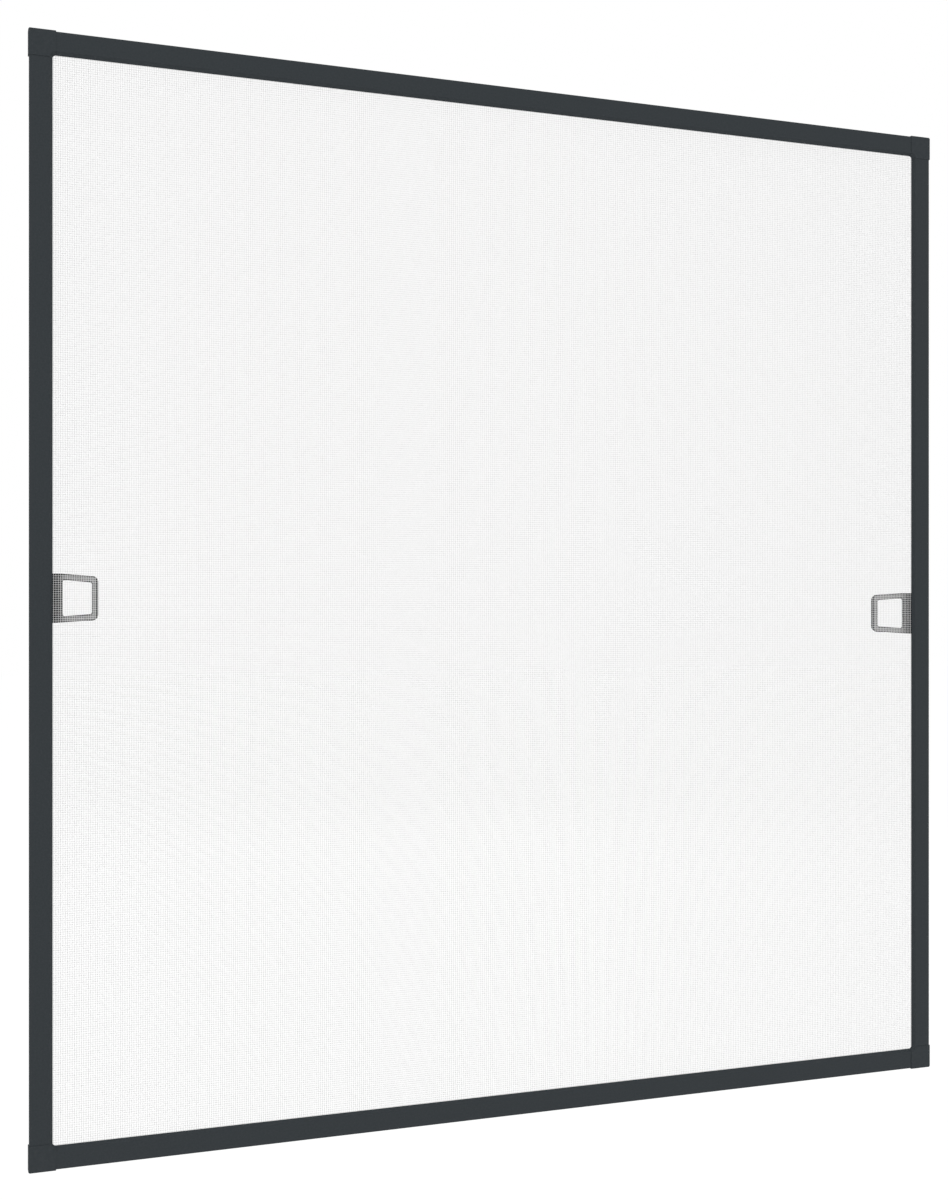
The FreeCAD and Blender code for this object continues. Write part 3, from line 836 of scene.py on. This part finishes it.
def seen_directly(tree):
    """1 for a ray from the camera, a reflection or a clear piece, else 0."""
    path = add_node(tree, "ShaderNodeLightPath").outputs
    seen = path["Is Camera Ray"]
    for other in ("Is Glossy Ray", "Is Transmission Ray"):
        seen = add_node(tree, "ShaderNodeMath", {0: seen, 1: path[other]}, operation="MAXIMUM")
    return seen


sky = bpy.data.worlds.new("white studio")
scene.world = sky
sky.use_nodes = True
sky_tree = sky.node_tree
sky_tree.nodes.clear()
strength = add_node(sky_tree, "ShaderNodeMapRange", {
    "Value": seen_directly(sky_tree),
    "To Min": SKY_STRENGTH,
    "To Max": 1.0,
})
white = add_node(sky_tree, "ShaderNodeBackground", {
    "Color": to_linear("#ffffff"),
    "Strength": strength,
})
add_node(sky_tree, "ShaderNodeOutputWorld", {"Surface": white})
print(f"sky at strength {SKY_STRENGTH}")

# %% Floor
FLOOR_BELOW = 0.6
FLOOR_SIZE = 60
FLOOR_TONE = to_linear("#f9f9f9")
FLOOR_ROUGHNESS = 0.9
FLOOR_GLOW = 0.9

sheet = bmesh.new()
bmesh.ops.create_grid(sheet, x_segments=1, y_segments=1, size=FLOOR_SIZE / 2)
for vertex in sheet.verts:
    vertex.co.z = cad_box[0][2] - FLOOR_BELOW
floor = bpy.data.objects.new("floor", bpy.data.meshes.new("floor"))
sheet.to_mesh(floor.data)
sheet.free()
scene.collection.objects.link(floor)
floor_paint, floor_tree, floor_surface = new_material("pale floor paint")
floor_surface.inputs["Base Color"].default_value = FLOOR_TONE
floor_surface.inputs["Roughness"].default_value = FLOOR_ROUGHNESS
glow_share = add_node(floor_tree, "ShaderNodeMath", {
    0: seen_directly(floor_tree),
    1: FLOOR_GLOW,
}, operation="MULTIPLY")
lit_by_sky = (1 - FLOOR_GLOW) * FLOOR_TONE[0] * SKY_STRENGTH
glow = add_node(floor_tree, "ShaderNodeEmission", {"Strength": (1 - lit_by_sky) / FLOOR_GLOW})
mixed = add_node(floor_tree, "ShaderNodeMixShader", {0: glow_share, 1: floor_surface, 2: glow})
floor_tree.links.new(mixed.outputs["Shader"], floor_tree.nodes["Material Output"].inputs["Surface"])
floor.data.materials.append(floor_paint)
print(f"floor {FLOOR_BELOW} m below the screen")

# %% [markdown]
# ## Lamps
# Large soft lamps in front, behind and overhead shape the rails a little. The floor throws the
# overhead lamp's light back up, so that the rails' slopes are as light as their faces. The lamps are
# left out of reflections, so no bright patch lies on a rail.

# %% Lamps
# Each lamp's place from the middle of the screen in metres, and its power in watts
LAMPS = {
    "front_lamp": ((-2, -6.5, 3), 105),
    "rear_lamp": ((2, 6.5, 3), 105),
    "overhead_lamp": ((0, 0, 6), 160),
}
LAMP_SIZE = 4

screen_middle = (Vector(cad_box[0]) + Vector(cad_box[1])) / 2
for name, (away, power) in LAMPS.items():
    lamp = bpy.data.objects.new(name, bpy.data.lights.new(name, "AREA"))
    lamp.data.size = LAMP_SIZE
    lamp.data.energy = power
    lamp.location = screen_middle + Vector(away)
    lamp.rotation_euler = Vector(away).to_track_quat("Z", "Y").to_euler()
    lamp.visible_glossy = False
    scene.collection.objects.link(lamp)
print(f"{len(LAMPS)} lamps placed")

# %% [markdown]
# ## Finish

# %% Finish
print("dressing done")
